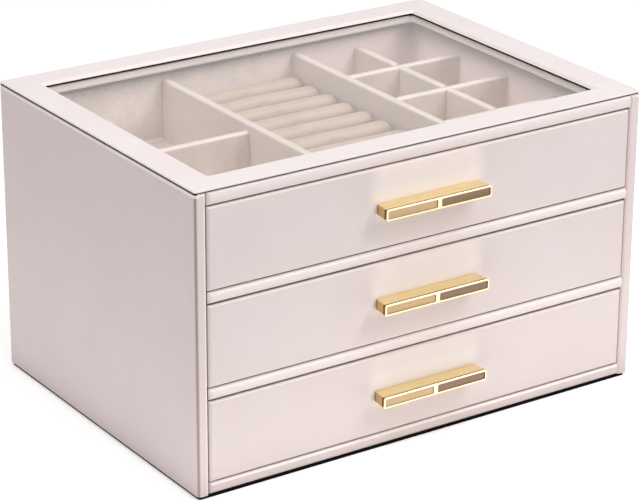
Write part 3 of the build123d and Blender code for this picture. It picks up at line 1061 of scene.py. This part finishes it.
@dataclass
class RingRolls:
    """The padded rolls in the top drawer: foam bars in velvet, side by side."""

    palette: Palette
    count: int = 10
    gap: float = mm(0.3)
    side_room: float = mm(0.02)
    crown: float = mm(7.8)
    foot_tuck: float = mm(1.0)
    side_steps: int = 4
    crown_steps: int = 14
    end_round: float = mm(2.6)
    end_share: float = 0.8
    voxel: float = mm(2.0)
    swell: float = mm(1.2)
    pressure: float = 12.0
    cloth_quality: int = 6
    frames: int = 20
    seed: int = 7
    wave_depth: Span = (mm(0.1), mm(0.3))
    waves: float = 1.3

    def build(self) -> None:
        """Makes one roll, pads it by simulation and sets copies of it side by side."""
        low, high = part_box("ring_rolls")
        pitch = (high.y - low.y + self.gap) / self.count
        size = Vector((high.x - low.x, pitch - self.gap, high.z - low.z))
        pattern = self.padded_roll(size)
        draw = random.Random(self.seed)
        for row in range(self.count):
            place = Vector(((low.x + high.x) / 2, low.y + size.y / 2 + row * pitch, low.z))
            self.set_roll(pattern, row, place, size, draw)
        bpy.data.meshes.remove(pattern)

    def outline(self, half: float, height: float) -> list[tuple[float, float]]:
        """The roll's section, anticlockwise from its left foot.

        Args:
            half: half of its width.
            height: its height.

        Returns:
            Points as (across, up).
        """
        shoulder = height - self.crown
        foot = half - self.foot_tuck
        steps = self.side_steps
        points = [(foot * (2 * step / steps - 1), 0.0) for step in range(steps + 1)]
        for step in range(1, steps):
            points.append((foot + (half - foot) * step / steps, shoulder * step / steps))
        for step in range(self.crown_steps + 1):
            turn = math.pi * step / self.crown_steps
            points.append((half * math.cos(turn), shoulder + self.crown * math.sin(turn)))
        for step in range(1, steps):
            points.append((-half + (half - foot) * step / steps, shoulder * (1 - step / steps)))
        return points

    def padded_roll(self, size: Vector) -> Mesh:
        """Makes the roll that the others copy, about the middle of its foot.

        Args:
            size: length, width and height of a roll.

        Returns:
            Its mesh, padded.
        """
        mesh = bmesh.new()
        half_length = size.x / 2 - self.swell / 2
        half = size.y / 2 - self.swell / 2
        height = size.z - self.swell / 2
        stations = [(-half_length, self.end_share), (-half_length + self.end_round, 1.0)]
        stations += [(half_length - self.end_round, 1.0), (half_length, self.end_share)]
        rings = []
        for place, share in stations:
            points = self.outline(half * share, height * (0.5 + share / 2))
            rings.append([mesh.verts.new((place, across, up)) for across, up in points])
        for near, far in zip(rings, rings[1:]):
            for step in range(len(near)):
                following = (step + 1) % len(near)
                mesh.faces.new((near[step], near[following], far[following], far[step]))
        mesh.faces.new(rings[0])
        mesh.faces.new(rings[-1])
        bmesh.ops.recalc_face_normals(mesh, faces=mesh.faces)
        piece = piece_from("ring_roll_pattern", mesh, self.palette.roll_velvet)
        remesh = piece.modifiers.new("even_mesh", "REMESH")
        remesh.mode = "VOXEL"
        remesh.voxel_size = self.voxel
        seen = piece.evaluated_get(bpy.context.evaluated_depsgraph_get())
        even = bpy.data.meshes.new_from_object(seen)
        piece.modifiers.clear()
        piece.data = even
        self.pad(piece)
        bpy.data.objects.remove(piece)
        return even

    def pad(self, piece: Object) -> None:
        """Blows the roll up as stuffed cloth, with its foot glued down.

        Args:
            piece: the roll, with an even mesh.
        """
        glued = piece.vertex_groups.new(name="glued_foot")
        floor = min(vertex.co.z for vertex in piece.data.vertices)
        low = [v.index for v in piece.data.vertices if v.co.z < floor + self.voxel]
        glued.add(low, 1.0, "REPLACE")
        cloth = piece.modifiers.new("stuffing", "CLOTH")
        cloth.settings.quality = self.cloth_quality
        cloth.settings.use_pressure = True
        cloth.settings.uniform_pressure_force = self.pressure
        cloth.settings.vertex_group_mass = glued.name
        cloth.settings.effector_weights.gravity = 0.0
        cloth.point_cache.frame_end = self.frames
        scene = bpy.context.scene
        for step in range(1, self.frames + 1):
            scene.frame_set(step)
        seen = piece.evaluated_get(bpy.context.evaluated_depsgraph_get())
        moved = [vertex.co.copy() for vertex in seen.data.vertices]
        piece.modifiers.clear()
        scene.frame_set(1)
        for vertex, target in zip(piece.data.vertices, moved):
            step = target - vertex.co
            if step.length > self.swell:
                step = step.normalized() * self.swell
            vertex.co += step

    def set_roll(
        self, pattern: Mesh, row: int, place: Vector, size: Vector, draw: random.Random
    ) -> None:
        """Sets one roll in its place, a little different from its neighbours.

        Args:
            pattern: the padded roll.
            row: its number from the front.
            place: the middle of its foot.
            size: the room that it has.
            draw: where chance comes from.
        """
        data = pattern.copy()
        top = max(vertex.co.z for vertex in data.vertices)
        phase = draw.uniform(0.0, math.tau)
        wave = draw.uniform(*self.wave_depth)
        room = Vector((size.x / 2 + self.gap, (size.y + self.gap) / 2 - self.side_room, size.z))
        for vertex in data.vertices:
            along = vertex.co.x / size.x
            lift = vertex.co.z / top
            vertex.co.z *= size.z / top
            vertex.co.z -= lift * wave * (1 + math.sin(phase + math.tau * self.waves * along)) / 2
            vertex.co.x = max(-room.x, min(room.x, vertex.co.x))
            vertex.co.y = max(-room.y, min(room.y, vertex.co.y))
            vertex.co += place
        piece = put_in_scene(f"ring_roll_{row + 1:02d}", data)
        smooth = piece.modifiers.new("soft_cloth", "SUBSURF")
        smooth.levels = 1
        smooth.render_levels = 1
        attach(piece, Body.TOP_DRAWER.value)
        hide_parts("ring_rolls")
        LOG.info("built %s", piece.name)


# Studio


@dataclass(frozen=True)
class Softbox:
    """A square or oblong lamp behind a diffuser, aimed at a point and out of the camera's sight."""

    name: str
    place: Triple
    size: float
    level: float
    aim: Triple = (0.0, 0.0, mm(80.0))
    height: float | None = None

    def hang(self) -> None:
        """Makes the lamp; its level is how bright a white card that faces it at its aim shows."""
        away = Vector(self.place) - Vector(self.aim)
        data = bpy.data.lights.new(self.name, "AREA")
        data.shape = "RECTANGLE"
        data.size = self.size
        data.size_y = self.height or self.size
        data.energy = self.level * (math.pi * away.length) ** 2
        lamp = put_in_scene(self.name, data)
        lamp.matrix_world = Matrix.LocRotScale(Vector(self.place), away.to_track_quat("Z", "Y"), None)
        lamp.visible_camera = False
        LOG.info("hung %s", self.name)


@dataclass(frozen=True)
class Studio:
    """A pale floor, softboxes and a camera at the photograph's angle."""

    image_width: int = 640
    sensor: float = 36.0
    focal_pixels: float = 2747.44
    azimuth: float = math.radians(-33.976)
    elevation: float = math.radians(22.093)
    roll: float = math.radians(0.271)
    distance: float = mm(1508.03)
    aim_right: float = mm(1.106)
    aim_up: float = mm(-11.092)
    clip_start: float = mm(10.0)
    floor_size: float = 60.0
    floor_cells: int = 4
    floor_tone: float = 0.9
    floor_glow: float = 0.33
    far_glow: float = 0.75
    near_reach: float = 0.5
    far_reach: float = 2.5
    sky_level: float = 0.36
    softboxes: tuple[Softbox, ...] = (
        Softbox("key_softbox", (0.6, -0.8, 1.1), 0.7, 0.42),
        Softbox("top_softbox", (-0.24, -0.05, 1.15), 1.0, 0.64),
        Softbox("left_floor_panel", (-0.225, 0.04, 0.001), 0.15, 0.84, (-0.225, 0.04, 0.101), 0.45),
        Softbox("front_floor_panel", (0.09, -0.186, 0.001), 0.5, 1.3, (0.09, -0.186, 0.101), 0.15),
    )

    def build(self) -> None:
        """Makes the camera, the floor, the lamps and the world."""
        self.build_camera()
        self.build_floor()
        for softbox in self.softboxes:
            softbox.hang()
        self.build_world()
        bpy.context.scene.view_settings.view_transform = "Standard"

    def build_camera(self) -> None:
        """Sets the camera where the photograph was taken from."""
        level = math.cos(self.elevation)
        right = Vector((math.cos(self.azimuth), math.sin(self.azimuth), 0.0))
        back = Vector((right.y * level, -right.x * level, math.sin(self.elevation)))
        up = back.cross(right)
        middle = Vector((0.0, 0.0, (cad_box[0].z + cad_box[1].z) / 2))
        target = middle + self.aim_right * right + self.aim_up * up
        turned_right = math.cos(self.roll) * right + math.sin(self.roll) * up
        turned_up = -math.sin(self.roll) * right + math.cos(self.roll) * up
        data = bpy.data.cameras.new("photo_camera")
        data.sensor_width = self.sensor
        data.lens = self.sensor * self.focal_pixels / self.image_width
        data.clip_start = self.clip_start
        data.clip_end = 2 * self.floor_size
        camera = put_in_scene("photo_camera", data)
        axes = Matrix((turned_right, turned_up, back)).transposed()
        place = target + self.distance * back
        camera.matrix_world = Matrix.LocRotScale(place, axes.to_quaternion(), None)
        bpy.context.scene.camera = camera
        LOG.info("camera set at %s", tuple(round(x, 3) for x in camera.location))

    def build_floor(self) -> None:
        """Lays a wide pale floor that shows white away from the box's shadow."""
        mesh = bmesh.new()
        cells = self.floor_cells
        bmesh.ops.create_grid(mesh, x_segments=cells, y_segments=cells, size=self.floor_size / 2)
        made = bpy.data.materials.new("pale_floor")
        made.use_nodes = True
        graph = Graph(made.node_tree)
        paint = graph.add("ShaderNodeBsdfDiffuse", {"Color": (self.floor_tone,) * 3 + (1.0,)})
        reach = graph.add("ShaderNodeVectorMath", {0: graph.place()}, operation="LENGTH").outputs["Value"]
        far = graph.ramp(reach, self.near_reach, self.far_reach)
        lift = graph.spread(far, self.floor_glow, self.far_glow)
        glow = graph.add("ShaderNodeEmission", {"Strength": graph.times(lift, self.seen(graph, 0.0))})
        both = graph.add("ShaderNodeAddShader", {0: paint.outputs[0], 1: glow.outputs[0]})
        graph.add("ShaderNodeOutputMaterial", {"Surface": both.outputs[0]})
        piece_from("studio_floor", mesh, made)

    def seen(self, graph: Graph, hidden: float) -> Socket:
        """A full level for rays that the camera, glass or metal shows, and another for the rest.

        Args:
            graph: the graph of the floor or the world.
            hidden: the level for the rest.

        Returns:
            The socket of the level.
        """
        path = graph.add("ShaderNodeLightPath").outputs
        mirrored = graph.math("MAXIMUM", path["Is Glossy Ray"], path["Is Transmission Ray"])
        return graph.spread(graph.math("MAXIMUM", path["Is Camera Ray"], mirrored), hidden, 1.0)

    def build_world(self) -> None:
        """Makes a white surround that lights the box at a plain level."""
        world = bpy.data.worlds.new("white_surround")
        world.use_nodes = True
        graph = Graph(world.node_tree)
        inputs = {"Color": (1.0, 1.0, 1.0, 1.0), "Strength": self.seen(graph, self.sky_level)}
        sky = graph.add("ShaderNodeBackground", inputs)
        graph.add("ShaderNodeOutputWorld", {"Surface": sky.outputs[0]})
        bpy.context.scene.world = world


def main() -> None:
    """Builds the box, sub-assembly by sub-assembly, and the studio round it."""
    logging.basicConfig(level=logging.INFO, format="%(message)s")
    palette = Palette(Effects())
    tray = ("left_divider", "right_divider", "left_cross_divider", "long_divider")
    tray += tuple(f"cross_divider_{row}" for row in (1, 2, 3))
    Case(palette).build()
    GlassTop(palette).build()
    Drawer("bottom", Body.BOTTOM_DRAWER, palette).build()
    Drawer("middle", Body.MIDDLE_DRAWER, palette, dividers=("left_divider", "right_divider")).build()
    Drawer("top", Body.TOP_DRAWER, palette, dividers=tray).build()
    RingRolls(palette).build()
    Studio().build()


if __name__ == "__main__":
    main()
